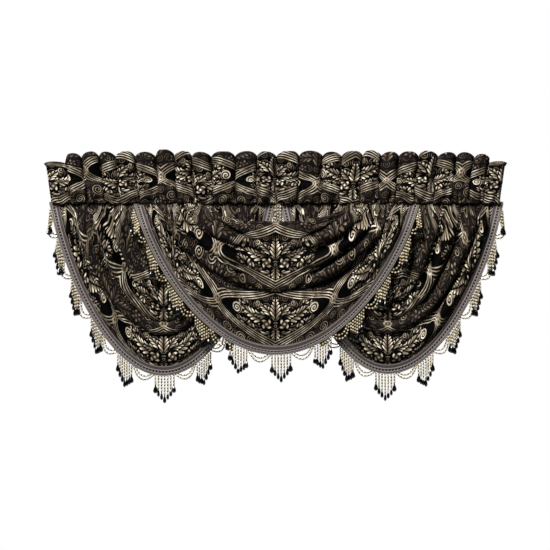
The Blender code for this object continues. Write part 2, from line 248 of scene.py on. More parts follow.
# Fringe
STRIP = 6.0             # width of the strip that carries the beads
STRIP_THICK = 1.8
STRIP_GRID = (120, 2)   # steps along and across it
TASSEL_PITCH = 116.0
STRANDS = 7
STRAND_PITCH = 8.0
FAN_PITCH = 3.6         # least pitch of the strands where a steep hem brings them together
FAN_DEPTH = 3.0         # they hang by turns this far in front and behind
SHORT_STRAND = 50.0     # at a tassel's sides, with the drop
LONG_STRAND = 74.0      # at its middle
DROP = 21.0             # length of a glass drop
STUB = 2.8              # thread that a strand leaves the strip by
GAP = 0.3               # between the hem and the strip
HEM_STEPS = 60
BUGLE = (5.5, 5.6)      # long bead: width and length
SEED = (5.4, 3.2)       # dark seed bead between two long ones
DROP_WIDTH = 8.2        # glass drop; the outer ones of a tassel are larger
OUTER_DROP = 1.5
END_TASSEL = (-4.5, 3.7, 62.0)   # first strand, pitch and length where two swags meet
END_DEPTH = (-7.5, -12.5)   # its strands hang by turns at these places front to back
SWAYS = (25.0, 14.0)    # depths of the two bead festoons between tassels
SECOND_INSET = 7.0      # the second starts further in from the tassel
SWAY_STEPS = 16         # steps along a festoon


def smooth(share):
    """Ease from 0 to 1, flat at both ends."""
    share = min(max(share, 0.0), 1.0)
    return share * share * (3.0 - 2.0 * share)


def between(before, start, end, after, t):
    """Smooth curve from start to end that also heeds its neighbours."""
    return 0.5 * (2.0 * start + (end - before) * t
                  + (2.0 * before - 5.0 * start + 4.0 * end - after) * t ** 2
                  + (3.0 * start - before - 3.0 * end + after) * t ** 3)


@functools.lru_cache(maxsize=None)
def row_at(rows, place):
    """Read a table between its rows."""
    last = len(rows) - 1
    i = min(int(place), last - 1)
    t = place - i
    near = [rows[min(max(k, 0), last)] for k in (i - 1, i, i + 1, i + 2)]
    return tuple(between(*values, t) for values in zip(*near))


def depth_at(side, hang):
    """Place front to back of a swag's mean cloth, this far below the seam."""
    _, seat, swell = SWAGS[side][:3]
    return -(seat + swell * smooth(hang / SWELL_LENGTH))


def hang_and_fold(side, across, place):
    """How far the cloth hangs below the seam there, and how far its fold stands out."""
    _, _, drop, flank, middle = row_at(LINES[side], place)
    u = abs(across)
    hang = drop * (1.0 - ROUND_SHARE * u ** 2 - (1.0 - ROUND_SHARE) * u ** TURN_POWER)
    fold = middle + (flank - middle) * smooth((u - 0.1) / 0.5)
    return hang, fold


def cloth_point(side, across, place):
    """Point on the middle of a swag's solid cloth."""
    left, right = row_at(LINES[side], place)[:2]
    hang, fold = hang_and_fold(side, across, place)
    reach = left if across < 0.0 else right
    y = depth_at(side, hang) - fold * smooth(hang / SWELL_LENGTH)
    return Vector((SWAGS[side][0] + across * reach, y, -SEAM_DROP - hang))


def cloth_frame(side, across, place):
    """Return the point, the direction along the line, the outward one down the cloth and the normal."""
    small = 0.002
    last = len(LINES[side]) - 1
    point = cloth_point(side, across, place)
    low, high = max(across - small, -1.0), min(across + small, 1.0)
    along = (cloth_point(side, high, place) - cloth_point(side, low, place)).normalized()
    up, down = max(place - small, 0.0), min(place + small, last)
    out = cloth_point(side, across, down) - cloth_point(side, across, up)
    out = (out - along * out.dot(along)).normalized()
    normal = along.cross(out)
    if normal.y > 0.0:
        normal.negate()
    return point, along, out, normal


def crease_height(side, across, place):
    """Sum of the hand-laid creases at a place of the cloth."""
    height = 0.0
    for from_across, from_place, to_across, to_place, wide, out in CREASES[side]:
        t = (across - from_across) / (to_across - from_across)
        if -0.15 < t < 1.15:
            middle = from_place + (to_place - from_place) * smooth(t)
            apart = (place - middle) * LINE_PITCH / wide
            if abs(apart) < 3.0:
                fade = smooth((t + 0.15) / 0.35) * smooth((1.15 - t) / 0.45)
                height += out * fade * math.exp(-apart * apart)
    return height


def draped_point(side, across, place):
    """Point of the finished cloth: the solid's folds, rounder and rolled over, with small creases."""
    last = len(LINES[side]) - 1
    point, _, out, normal = cloth_frame(side, across, place)
    hang, fold = hang_and_fold(side, across, place)
    free = smooth(hang / SWELL_LENGTH) * smooth((last - 1.0 - place) / 0.8)
    valley = min(max((1.0 - fold / TALLEST) / 2.0, 0.0), 1.0)
    rounder = TALLEST * (1.0 - 2.0 * valley ** TIGHT) - fold
    ripple = 0.8 * math.sin(9.0 * across + 2.3 * place) + 0.6 * math.sin(17.0 * across - 1.7 * place)
    wander = place + 0.35 * math.sin(4.0 * across + len(side)) + 0.25
    minor = MINOR * (abs(math.sin(math.pi * wander)) ** 0.6 - 0.7) * smooth((abs(across) - 0.22) / 0.25)
    height = 0.85 * (rounder - 3.0) + crease_height(side, across, place) + ripple + minor
    point = point + (normal * height + out * fold * OVERLAP) * free
    near_seam = (1.0 - smooth(hang / 60.0)) * smooth((last - 1.0 - place) / 2.0)
    point.y -= FORWARD[side] * near_seam
    if side != "centre":
        upright = 21.0 * across + 1.4 * math.sin(5.0 * across + len(side))
        point.y -= SHIRRING * abs(math.sin(upright)) ** 0.7 * smooth(1.0 - place / 2.2)
    return point


def across_at(share):
    """Turn a share of the steps across a swag into a place from -1 to 1, closer near the ends."""
    return math.sin(math.pi / 2.0 * (2.0 * share - 1.0))


def grid_sheet(columns, rows, place):
    """Lay a grid of cloth by place(column, row) in millimetres and return its bmesh and vertices."""
    bm = bmesh.new()
    bmesh.ops.create_grid(bm, x_segments=columns, y_segments=rows, size=1.0)
    table = [[None] * (columns + 1) for _ in range(rows + 1)]
    for vert in bm.verts:
        column = round((vert.co.x + 1.0) / 2.0 * columns)
        row = round((1.0 - vert.co.y) / 2.0 * rows)
        vert.co = place(column, row) * MM
        table[row][column] = vert
    return bm, table


def lay_flat(bm, table, flat):
    """Write the cut of the cloth as its UV map: flat(column, row) gives metres on the flat cloth."""
    layer = bm.loops.layers.uv.new("cut")
    places = {vert: flat(column, row) for row, verts in enumerate(table)
              for column, vert in enumerate(verts)}
    for face in bm.faces:
        for loop in face.loops:
            loop[layer].uv = places[loop.vert]
    across = [place[0] for place in places.values()]
    down = [place[1] for place in places.values()]
    return max(across) - min(across), max(down) - min(down)


def line_lengths(line):
    """Length along a line at each of its points."""
    reach = [0.0]
    for before, after in zip(line, line[1:]):
        reach.append(reach[-1] + (after - before).length)
    return reach


def lengths_along(verts, start):
    """Signed lengths from the vertex with that index along a line of vertices."""
    reach = line_lengths([vert.co for vert in verts])
    return [value - reach[start] for value in reach]


def face_front(bm):
    """Turn an open sheet's faces towards the front."""
    bm.normal_update()
    if sum(face.normal.y * face.calc_area() for face in bm.faces) > 0.0:
        bmesh.ops.reverse_faces(bm, faces=bm.faces)


def flat_area(bm):
    """Area of the cut in square metres, read from its UV map."""
    layer = bm.loops.layers.uv.active
    total = 0.0
    for face in bm.faces:
        corners = [loop[layer].uv for loop in face.loops]
        total += abs(sum(a.cross(b) for a, b in zip(corners, corners[1:] + corners[:1]))) / 2.0
    return total


def to_mesh(name, bm):
    """Turn a finished bmesh into a mesh."""
    mesh = bpy.data.meshes.new(name)
    bm.to_mesh(mesh)
    bm.free()
    return mesh


def put(name, bm, material, smooth_faces=True):
    """Make a piece of the mesh, with its finish."""
    mesh = to_mesh(name, bm)
    if smooth_faces:
        mesh.shade_smooth()
    mesh.materials.append(material)
    piece = bpy.data.objects.new(name, mesh)
    bpy.context.scene.collection.objects.link(piece)
    return piece


def thicken(piece, thickness, offset=0.0):
    """Give a sheet its thickness: half to each side, or all of it behind for an offset of -1."""
    solid = piece.modifiers.new("Thickness", "SOLIDIFY")
    solid.thickness = thickness * MM
    solid.offset = offset
    return piece


def dress(piece, slot_name, *nodes):
    """Hang the piece on the root body and hide the parts that it stands for; slot_name is not used."""
    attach(piece, "root")
    if nodes:
        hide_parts(*nodes)
    return piece


# Cloth

def make_swag(side, material):
    """One swag of damask, with its flat cut as the UV map the pattern follows."""
    last = len(LINES[side]) - 1
    rows = last * BETWEEN_LINES

    def place(column, row):
        point = draped_point(side, across_at(column / COLUMNS), last * row / rows)
        if column in (0, COLUMNS) or (row == 0 and side != "centre"):
            point.z += TUCK
        return point

    bm, table = grid_sheet(COLUMNS, rows, place)
    centre = COLUMNS // 2
    reach = [lengths_along(verts, centre) for verts in table]
    medallion = round(MEDALLION_LINE[side] * BETWEEN_LINES)
    own = [lengths_along(verts, medallion) for verts in zip(*table)]
    down = []
    for column in range(COLUMNS + 1):
        near = own[max(column - AROUND, 0):column + AROUND + 1]
        share = OWN_SHARE * smooth((abs(across_at(column / COLUMNS)) - 0.25) / 0.4)
        down.append([middle + share * (sum(lengths) / len(near) - middle)
                     for middle, *lengths in zip(own[centre], *near)])
    flat = lay_flat(bm, table, lambda column, row: (reach[row][column], -down[column][row]))
    area = flat_area(bm)
    face_front(bm)
    piece = thicken(put(f"swag_{side}_cloth", bm, material), CLOTH)
    dress(piece, "damask", f"swag_{side}")
    return piece, flat, area


def fold_height(height, wide, apart):
    """Height of a fold of that width, so far from its middle."""
    return height * math.exp(-(apart / wide) ** 2)


def heading_columns():
    """List (x, puff, top, gather number, share of the gather) for each column of the heading."""
    left = -sum(width for width, _, _ in GATHERS) / 2.0
    columns = []
    previous_rise = GATHERS[0][2]
    for number, (width, full, rise) in enumerate(GATHERS):
        lean = 0.16 * math.sin(2.4 * number + 0.6)
        for step in range(GATHER_STEPS):
            share = (1.0 - math.cos(math.pi * step / GATHER_STEPS)) / 2.0
            bend = share + lean * share * (1.0 - share) * 2.0
            puff = full * math.sin(math.pi * bend) ** 0.6 if step else 0.0
            top = rise + (previous_rise - rise) * (1.0 - smooth(share * 6.0)) * (previous_rise < rise)
            columns.append((left + width * share, puff, top, number, share))
        left += width
        previous_rise = rise
    columns.append((left, 0.0, previous_rise, len(GATHERS) - 1, 1.0))
    return columns


def make_heading(finishes):
    """Gathered heading: one strip of damask folded over at the top, stitched to a ruffle and a pocket."""
    columns = heading_columns()
    rows = (len(HEADING_SECTION) - 1) * SECTION_STEPS
    widths = [width for width, _, _ in GATHERS]

    def place(column, row):
        x, puff, rise, number, share = columns[column]
        down, gap_y, puff_y = row_at(HEADING_SECTION, row / SECTION_STEPS)
        y = gap_y + (puff_y - gap_y) * puff
        lift = (rise - GAP_DIP * (1.0 - min(puff, 1.0))) * max(0.0, 1.0 - down / 40.0)
        pocket = smooth((down - 76.0) / 14.0) * smooth((140.0 - down) / 12.0)
        ruffle = smooth((70.0 - down) / 20.0) * smooth((down - 2.0) / 16.0)
        swing = 2.1 * number
        crumple = (CRUMPLES[0] * math.sin(x * 0.21 + 0.05 * down + swing)
                   + CRUMPLES[1] * math.sin(x * 0.37 - 0.09 * down - swing)
                   + CRUMPLES[2] * math.sin(down * 0.30 + x * 0.06 + 1.3 * swing))
        pleat = fold_height(*PLEAT, share - 0.5 - 0.2 * math.sin(swing + 0.03 * down))
        tuck = fold_height(*TUCK_FOLD, share - 0.5 - 0.16 * math.sin(swing))
        deep = fold_height(*GAP_FOLD, min(share, 1.0 - share))
        deep *= smooth(down / 12.0) * smooth((136.0 - down) / 14.0)
        on_front = row <= FRONT_ROWS
        y += (1.0 if on_front else 0.4) * pocket * (crumple + pleat)
        y += ruffle * (tuck + 0.8 * math.sin(x * 0.3 + swing))
        if on_front:
            in_pocket = smooth((down - 82.0) / 10.0) * smooth((138.0 - down) / 10.0)
            y = min(y + deep, ROD_CLEAR + 30.0 * (1.0 - in_pocket))
        else:
            y += deep * smooth((90.0 - down) / 20.0)
        taper = 1.0 - END_TAPER * down / SEAM_DROP
        sway = 2.5 * math.sin(swing + down * 0.04) * smooth(down / 40.0) * smooth((138.0 - down) / 30.0)
        sway -= BULGE * widths[number] * math.sin(2.0 * math.pi * share) * smooth((139.0 - down) / 30.0)
        inside = smooth((620.0 - abs(x)) / 60.0)
        lift += 2.6 * math.sin(0.13 * x + swing) * smooth((down - 100.0) / 30.0)
        return Vector((x * taper + sway * inside, y, lift - down))

    bm, table = grid_sheet(len(columns) - 1, rows, place)
    reach = [lengths_along(verts, len(columns) // 2) for verts in table]
    along = [sum(values) / len(reach) for values in zip(*reach)]
    skew = []
    for i, (_, _, _, number, share) in enumerate(columns):
        gaps = number + smooth((share - 0.94) / 0.06)
        along[i] += TUCKED * MM * (gaps - len(GATHERS) / 2.0 + 0.9 * math.sin(1.9 * gaps))
        skew.append(SKEW * MM * (0.6 * math.sin(2.6 * gaps) + 0.4 * math.sin(4.9 * gaps + 1.0)))
    down = lengths_along([verts[MIDDLE_PUFF] for verts in table], 0)
    aside, up = HEADING_PATTERN
    flat = lay_flat(bm, table, lambda column, row: (along[column] + aside, down[row] + skew[column] + up))
    area = flat_area(bm)
    face_front(bm)
    seam = [vert.co / MM - Vector((0.0, 0.7, 0.0)) for vert in table[STITCHED_ROW]]
    piece = thicken(put("heading_cloth", bm, finishes["damask"]), CLOTH, -1.0)
    dress(piece, "damask", "heading")
    count = round(line_lengths(seam)[-1] / STITCH_PITCH)
    places = places_along(seam, [STITCH_PITCH * (i + 0.5) for i in range(count)])
    stitches = string_up("heading_stitches", ball_mesh(*STITCH, 4), places, finishes["thread"])
    dress(stitches, "braid")
    return piece, stitches, flat, area


# Braid

def make_braid(side, material):
    """Woven braid with twisted cords and a ladder of dark squares, on the cloth along the hem."""
    last = len(LINES[side]) - 1
    frames = {}

    def frame_at(column, share):
        on_cloth = min(share / BRAID_ON_CLOTH, 1.0)
        key = (column, on_cloth)
        if key not in frames:
            frames[key] = cloth_frame(side, across_at(column / BRAID_COLUMNS), last - 1.0 + on_cloth)
        return frames[key]

    reach = line_lengths([frame_at(column, 1.0)[0] for column in range(BRAID_COLUMNS + 1)])

    def place(column, row):
        share, height = BRAID_SECTION[row]
        point, _, out, normal = frame_at(column, share)
        past = max(share - BRAID_ON_CLOTH, 0.0) / (1.0 - BRAID_ON_CLOTH) * BRAID_PAST
        turn = reach[column] / TWIST_PITCH
        near_cord = min(abs(share - cord) for cord in CORDS)
        if near_cord < 0.05:
            height *= 1.0 + 0.22 * math.cos(2.0 * math.pi * (turn + share * TWIST_SLANT))
        if LADDER[0] < share < LADDER[1]:
            height += 0.5 * math.cos(2.0 * math.pi * reach[column] / DOT_PITCH) - 0.3
        if row == len(BRAID_SECTION) - 1:
            past += 0.7 * math.cos(2.0 * math.pi * turn)
        point = point + out * past + normal * (BRAID_LIFT + height)
        if column in (0, BRAID_COLUMNS):
            point.z += TUCK
        return point

    bm, table = grid_sheet(BRAID_COLUMNS, len(BRAID_SECTION) - 1, place)
    lay_flat(bm, table, lambda column, row: (reach[column] * MM, BRAID_SECTION[row][0] * BRAID_WIDTH * MM))
    face_front(bm)
    piece = thicken(put(f"braid_{side}_woven", bm, material), BRAID_THICK, -1.0)
    return dress(piece, "braid", f"braid_{side}")


# Fringe

class Hem:
    """The fringe strip's middle line, measured from the hem's lowest place."""

    def __init__(self, side):
        self.side = side
        last = len(LINES[side]) - 1
        self.frames = []
        for i in range(HEM_STEPS + 1):
            point, _, out, _ = cloth_frame(side, across_at(i / HEM_STEPS), last)
            self.frames.append((point + out * (GAP + STRIP / 2.0), out))
        reach = line_lengths([point for point, _ in self.frames])
        lowest = reach[HEM_STEPS // 2] + SWAGS[side][3]
        self.reach = [value - lowest for value in reach]

    def at(self, arc):
        """Return the point and the outward direction at that length along the strip."""
        for i in range(HEM_STEPS):
            if arc <= self.reach[i + 1]:
                break
        t = (arc - self.reach[i]) / (self.reach[i + 1] - self.reach[i])
        point = self.frames[i][0].lerp(self.frames[i + 1][0], t)
        out = self.frames[i][1].lerp(self.frames[i + 1][1], t).normalized()
        return point, out

    def tassels(self):
        """List each tassel: its middle along the hem and the places of its strands from there."""
        bare_left, bare_right = SWAGS[self.side][4:]
        first = self.reach[0] + bare_left
        final = self.reach[-1] - bare_right
        count = math.ceil(max(-first, final) / TASSEL_PITCH)
        found = []
        for k in range(-count, count + 1):
            middle = k * TASSEL_PITCH
            offsets = [STRAND_PITCH * (i - (STRANDS - 1) / 2.0) for i in range(STRANDS)]
            offsets = [offset for offset in offsets if first <= middle + offset <= final]
            if offsets:
                found.append((middle, offsets))
        return found


def strand_line(hem, tassel, offset):
    """Three points of a strand: where it leaves the strip, its drop's neck and its drop's foot."""
    half = STRAND_PITCH * (STRANDS - 1) / 2.0
    uphill = math.copysign(1.0, tassel) if tassel else 0.0
    root, out = hem.at(tassel + offset)
    clear = root + out * (STRIP / 2.0 + STUB / 2.0)
    lowest, lowest_out = hem.at(tassel - uphill * half)
    lowest += lowest_out * (STRIP / 2.0 + STUB)
    rank = (uphill * offset + half) / STRAND_PITCH
    spread = max(abs(clear.x - lowest.x), FAN_PITCH * rank)
    end_x = lowest.x + uphill * spread if tassel else clear.x
    length = LONG_STRAND + (SHORT_STRAND - LONG_STRAND) * abs(offset) / half
    foot_z = root.z - STRIP / 2.0 - length
    lean = depth_at(hem.side, -SEAM_DROP - foot_z) - depth_at(hem.side, -SEAM_DROP - root.z)
    fore = FAN_DEPTH if round(offset / STRAND_PITCH) % 2 else -FAN_DEPTH
    foot = Vector((end_x, root.y + lean + fore, foot_z))
    neck = clear.lerp(foot, 1.0 - DROP / (clear.z - foot.z))
    return clear, neck, foot


def loop_line(hem, start, end, sway):
    """Points of a bead festoon that hangs from one tassel to the next."""
    first, first_out = hem.at(start)
    final, final_out = hem.at(end)
    first = first + first_out * STRIP / 2.0
    final = final + final_out * STRIP / 2.0
    _, out = hem.at((start + end) / 2.0)
    pull = (out * 0.55 + Vector((0.0, 0.0, -0.45))).normalized()
    shares = [i / SWAY_STEPS for i in range(SWAY_STEPS + 1)]
    return [first.lerp(final, t) + pull * 4.0 * t * (1.0 - t) * sway for t in shares]


def places_along(line, lengths):
    """Turn lengths along a line into places there, with Z along the line."""
    reach = line_lengths(line)
    places = []
    for length in lengths:
        i = max(k for k in range(len(line) - 1) if reach[k] <= length or k == 0)
        step = line[i + 1] - line[i]
        point = line[i] + step * ((length - reach[i]) / step.length)
        turn = step.to_track_quat("Z", "Y").to_matrix().to_4x4()
        places.append(Matrix.Translation(point * MM) @ turn)
    return places


def bead_places(line):
    """Walk a thread and return the places of its long beads and of the seeds between them."""
    whole = line_lengths(line)[-1] - SEED[1]
    count = max(1, round(whole / (BUGLE[1] + SEED[1])))
    pitch = whole / count
    seeds = places_along(line, [SEED[1] / 2.0 + pitch * k for k in range(count + 1)])
    bugles = places_along(line, [SEED[1] / 2.0 + pitch * (k + 0.5) for k in range(count)])
    return bugles, seeds


def ball_mesh(width, length, rings):
    """A bead with flat ends: a ball of a few faces, drawn out along its thread."""
    bm = bmesh.new()
    bmesh.ops.create_uvsphere(bm, u_segments=8, v_segments=rings, radius=0.5 * MM)
    bmesh.ops.scale(bm, verts=bm.verts, vec=(width, width, length))
    return to_mesh("bead_shape", bm)


def drop_mesh():
    """A faceted glass drop, hanging from the origin, one long and one wide."""
    profile = ((0.14, 0.0), (0.20, -0.05), (0.15, -0.10), (0.36, -0.32), (0.50, -0.60), (0.50, -0.78),
               (0.30, -0.94), (0.0, -1.0))
    bm = bmesh.new()
    verts = [bm.verts.new((radius, 0.0, z)) for radius, z in profile]
    edges = [bm.edges.new(pair) for pair in zip(verts, verts[1:])]
    bmesh.ops.spin(bm, geom=verts + edges, axis=(0.0, 0.0, 1.0), cent=(0.0, 0.0, 0.0),
                   angle=2.0 * math.pi, steps=7, use_merge=True)
    bmesh.ops.remove_doubles(bm, verts=bm.verts, dist=1e-5)
    rim = [edge for edge in bm.edges if edge.is_boundary]
    bmesh.ops.holes_fill(bm, edges=rim, sides=8)
    bmesh.ops.recalc_face_normals(bm, faces=bm.faces)
    return to_mesh("drop_shape", bm)


def string_up(name, shape, places, material, smooth_faces=True):
    """Join one copy of the shape at each place into a piece."""
    bm = bmesh.new()
    for place in places:
        copy = shape.copy()
        copy.transform(place)
        bm.from_mesh(copy)
        bpy.data.meshes.remove(copy)
    return put(name, bm, material, smooth_faces)


def end_tassel():
    """Threads of the tassel end that hangs in the gap where the two back swags meet."""
    first, pitch, length = END_TASSEL
    threads = []
    for k in range(STRANDS):
        root = Vector((first + pitch * k, END_DEPTH[k % 2], 6.0 - SEAM_DROP))
        threads.append([root, root - Vector((0.0, 0.0, length + 6.0 * (k % 3)))])
    return threads


def make_fringe(side, finishes):
    """Bead fringe: tassels of bead strands with glass drops, festoons between them and their strip."""
    hem = Hem(side)
    rng = random.Random(len(side))
    threads, drops = [], []
    tassels = hem.tassels()
    for middle, offsets in tassels:
        for offset in offsets:
            clear, neck, foot = strand_line(hem, middle, offset)
            threads.append([clear, neck])
            outer = abs(offset) > STRAND_PITCH * 2.5
            wide = DROP_WIDTH * (OUTER_DROP if outer else 1.0) * rng.uniform(0.9, 1.12)
            tall = (neck - foot).length * rng.uniform(0.96, 1.04)
            turn = (neck - foot).to_track_quat("Z", "Y").to_matrix().to_4x4()
            spin = Matrix.Rotation(rng.uniform(0.0, math.pi), 4, "Z")
            size = Matrix.Diagonal((wide * MM, wide * MM, tall * MM, 1.0))
            drops.append(Matrix.Translation(neck * MM) @ turn @ spin @ size)
    if side == "left":
        threads += end_tassel()
    edge = STRAND_PITCH * STRANDS / 2.0
    for (start, _), (end, _) in zip(tassels, tassels[1:]):
        for sway, inset in zip(SWAYS, (edge, edge + SECOND_INSET)):
            threads.append(loop_line(hem, start + inset, end - inset, sway))
    bugles, seeds = [], []
    for thread in threads:
        along, between_them = bead_places(thread)
        bugles += along
        seeds += between_them

    last = len(LINES[side]) - 1
    columns, rows = STRIP_GRID

    def place(column, row):
        point, _, out, _ = cloth_frame(side, across_at(column / columns), last)
        return point + out * (GAP + STRIP * row / rows)

    bm, table = grid_sheet(columns, rows, place)
    reach = lengths_along(table[0], columns // 2)
    lay_flat(bm, table, lambda column, row: (reach[column], STRIP * MM * row / rows))
    face_front(bm)
    strip = thicken(put(f"fringe_{side}_strip", bm, finishes["braid"]), STRIP_THICK)
    beads = string_up(f"fringe_{side}_beads", ball_mesh(*BUGLE, 6), bugles, finishes["bead"])
    seeds = string_up(f"fringe_{side}_seeds", ball_mesh(*SEED, 4), seeds, finishes["seed"])
    drops = string_up(f"fringe_{side}_drops", drop_mesh(), drops, finishes["jet"], smooth_faces=False)
    dress(beads, "bead", f"fringe_{side}")
    dress(strip, "braid")
    dress(seeds, "jet")
    dress(drops, "jet")
    return [strip, beads, seeds, drops]


# Finishes

def linear(hex_colour):
    """Turn an sRGB hex colour into the linear values that Blender works in."""
    values = [int(hex_colour[i:i + 2], 16) / 255.0 for i in (1, 3, 5)]
    return (*(v / 12.92 if v <= 0.04045 else ((v + 0.055) / 1.055) ** 2.4 for v in values), 1.0)


def add(tree, kind, *inputs, named=None, **settings):
    """Add a node and return its first output: settings are its options, inputs are values or links."""
    made = tree.nodes.new(f"ShaderNode{kind}")
    for option, value in settings.items():
        setattr(made, option, value)
    for key, value in [*enumerate(inputs), *(named or {}).items()]:
        if isinstance(value, bpy.types.NodeSocket):
            tree.links.new(value, made.inputs[key])
        elif value is not None:
            made.inputs[key].default_value = value
    return made.outputs[0]


def set_stops(ramp, bands):
    """Give a colour ramp its stops: each band has its place and its colour."""
    first, *others, last = bands
    for stop, (position, colour) in zip(ramp.elements, (first, last)):
        stop.position = position
        stop.color = linear(colour)
    for position, colour in others:
        ramp.elements.new(position).color = linear(colour)


def new_finish(name):
    """Start a material and return it with its node tree and its shader."""
    material = bpy.data.materials.new(name)
    material.use_nodes = True
    tree = material.node_tree
    return material, tree, tree.nodes["Principled BSDF"]


# Damask. The repeat is a half-drop ogee trellis: black ogees with a spray of acanthus, and charcoal
# ones with fine scrolls. Places are in millimetres on the flat cloth, from the middle of an ogee, and
# each half is mirrored in the other.
REPEAT = (330.0, 196.0)
RIBBON_PITCH = 6.4       # between the four light lines of the trellis
RIBBON_LINE = 2.3        # width of one of them
LINE_TONE = 0.76
RIBBON = 2.0 * RIBBON_PITCH
STEP_PLACE = (34.0, 37.0)   # the trellis steps inwards between these heights
STEP_DEPTH = 12.0
CURL_CELL = 25.0         # small scrolls that fill the charcoal ground and the gaps of the spray
SPRAY_FILL = (122.0, 60.0)   # half width and half height of the filled part of the spray
SPRAY_SCROLL = (12.0, 6.0, 2.2)    # radius, pitch and line of the small scrolls among the spray
SPRAY_TONE = 0.5
GROUND_SCROLL = (11.5, 5.6, 1.7)   # and of those on the charcoal ground
GROUND_TONE = 0.46
ROSETTE = 17.0           # radius of the flowers where the trellis crosses
ROSETTE_TONE = 0.7
GROUND_COLOURS = ("#141110", "#010101")   # charcoal and black
FIGURE_COLOURS = ((0.15, "#221d19"), (0.40, "#4b4036"), (0.66, "#988a73"), (0.92, "#f6edd8"))
RIB_PITCH = 1.6          # ribs of the weave, drawn twice as coarse as real so that they show

ACANTHUS = (
    # x    y    turn  length reach pitch bend cut  tone
    (30, -30, 104, 78, 18, 12.0, -0.0060, 1.4, 0.8),    # lower side leaf
    (46, 0, 60, 52, 15, 11.0, 0.013, 1.4, 0.85),        # upper sprig
    (12, -44, 128, 54, 15, 11.0, -0.0120, 1.4, 0.95),
    (20, -12, 84, 94, 18, 12.0, -0.0038, 1.4, 1.0),     # long side leaf
    (16, -4, 56, 46, 13, 11.0, 0.012, 1.3, 0.85),
    (8, 0, 28, 52, 13, 11.0, 0.008, 1.3, 0.95),
    (0, -8, 0, 66, 16, 11.0, 0.0, 1.3, 1.0),            # crown
    (0, -34, 180, 44, 13, 10.0, 0.0, 1.1, 1.0),         # pendant
)
ACANTHUS_CURLS = (
    # x    y    radius lobes swirl handed tone
    (68, -30, 13, 3.0, 0.34, -1, 0.85),
    (84, 30, 12, 3.0, 0.36, -1, 0.85),
    (24, -20, 17, 4.0, 0.26, 1, 0.86),
)
ACANTHUS_SCROLLS = (
    # x    y    radius pitch line handed tone
    (106, 4, 14, 7.0, 3.6, 1, 0.82),
    (48, 34, 8, 5.6, 2.8, 1, 0.7),
)
TRACERY = (
    (0, -46, 0, 86, 18, 12.0, 0.0, 1.4, 0.62),
    (12, 0, 50, 62, 13, 11.0, 0.010, 1.4, 0.58),
    (12, -18, 100, 76, 13, 11.0, -0.006, 1.4, 0.58),
)
TRACERY_CURLS = (
    (84, -8, 18, 6.0, 0.18, 1, 0.60),
    (40, -50, 14, 6.0, 0.20, -1, 0.56),
)
TRACERY_SCROLLS = (
    (30, 34, 16, 6.6, 2.2, 1, 0.66),
    (70, 22, 15, 6.4, 2.2, -1, 0.66),
    (118, 8, 11, 6.0, 2.0, 1, 0.62),
)


def new_group(name, inputs):
    """Start a node group whose inputs are numbers, but for the first, a place. It gives a number."""
    tree = bpy.data.node_groups.new(name, "ShaderNodeTree")
    tree.interface.new_socket("Place", in_out="INPUT", socket_type="NodeSocketVector")
    for title in inputs:
        tree.interface.new_socket(title, in_out="INPUT", socket_type="NodeSocketFloat")
    tree.interface.new_socket("Thread", in_out="OUTPUT", socket_type="NodeSocketFloat")
    tree.interface.new_socket("Clear", in_out="OUTPUT", socket_type="NodeSocketFloat")
    return tree, list(tree.nodes.new("NodeGroupInput").outputs), tree.nodes.new("NodeGroupOutput")


def about_its_eye(tree, place):
    """Give the angle of a place round a motif's middle, and how far away it lies."""
    x, y, _ = add(tree, "SeparateXYZ", place).node.outputs
    turn = add(tree, "Math", y, x, operation="ARCTAN2")
    return turn, add(tree, "VectorMath", place, operation="LENGTH").node.outputs["Value"]


def off_middle(tree, steps):
    """How far a number lies from the middle of the whole step that it is in, from 0 to a half."""
    steps = add(tree, "Math", steps, operation="FRACT")
    steps = add(tree, "Math", steps, 0.5, operation="SUBTRACT")
    return add(tree, "Math", steps, operation="ABSOLUTE")


def close_group(tree, end, inside, tone, square):
    """Give a motif's thread, and how clear a place is of it: the motif hides what lies under it."""
    inside = add(tree, "Math", inside, 4.5, operation="MULTIPLY")
    inside = add(tree, "Clamp", inside)
    thread = add(tree, "Math", inside, tone, operation="MULTIPLY")
    clear = add(tree, "Math", square, 5.0, -5.6, operation="MULTIPLY_ADD")
    clear = add(tree, "Clamp", clear)
    tree.links.new(thread, end.inputs[0])
    tree.links.new(clear, end.inputs[1])
    return tree


